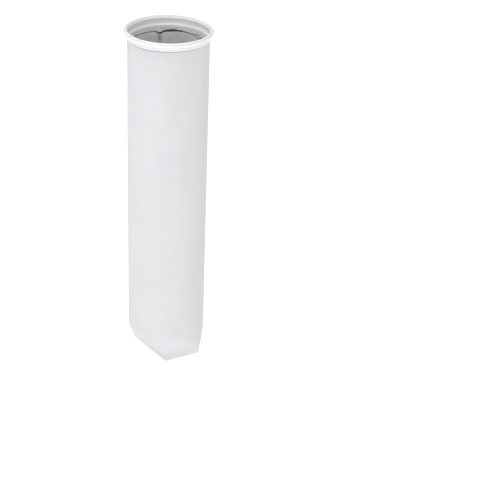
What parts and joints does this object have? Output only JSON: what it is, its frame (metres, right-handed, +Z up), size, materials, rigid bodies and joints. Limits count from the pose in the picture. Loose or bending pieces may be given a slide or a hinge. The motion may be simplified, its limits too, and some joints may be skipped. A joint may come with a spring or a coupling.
{
  "type": "two-stage liquid filter bag",
  "caption": "Round felt filter bag hung from a moulded seal ring, with a V-welded bottom and a layered depth-filter core hung inside on a cloth funnel.",
  "frame": {"origin": "centre of the seating plane, the flat underside of the seal lip, on the bag's axis", "axes": "+Z up along the bag's axis, out of the mouth; X lies in the plane of the bottom weld; -Y faces the front panel"},
  "size_m": [0.194, 0.194, 0.816],
  "materials": {
    "ring_plastic": "white moulded polypropylene, satin",
    "lip_plastic": "softer, slightly translucent moulded lip",
    "bag_felt": "singed needle felt, off-white",
    "funnel_cloth": "thin close-woven cloth, light grey",
    "collar_plastic": "ivory moulded plastic, satin",
    "inner_media": "soft white fibre, coarse",
    "fine_media": "thin dense grey layer",
    "outer_media": "soft white fibre, dense"
  },
  "bodies": {
    "bag": {"seal_ring": "ring_plastic", "seal_lip": "lip_plastic", "outer_bag_front_panel": "bag_felt", "outer_bag_back_panel": "bag_felt", "funnel_cloth": "funnel_cloth"},
    "core": {"core_collar": "collar_plastic", "core_inner_layer": "inner_media", "core_fine_layer": "fine_media", "core_outer_layer": "outer_media"}
  },
  "joints": [
    {"name": "core_lift", "type": "slide", "parent": "bag", "child": "core", "axis": [0, 0, 1], "range_m": [0, 0.03], "deforming": ["funnel_cloth"]}
  ]
}
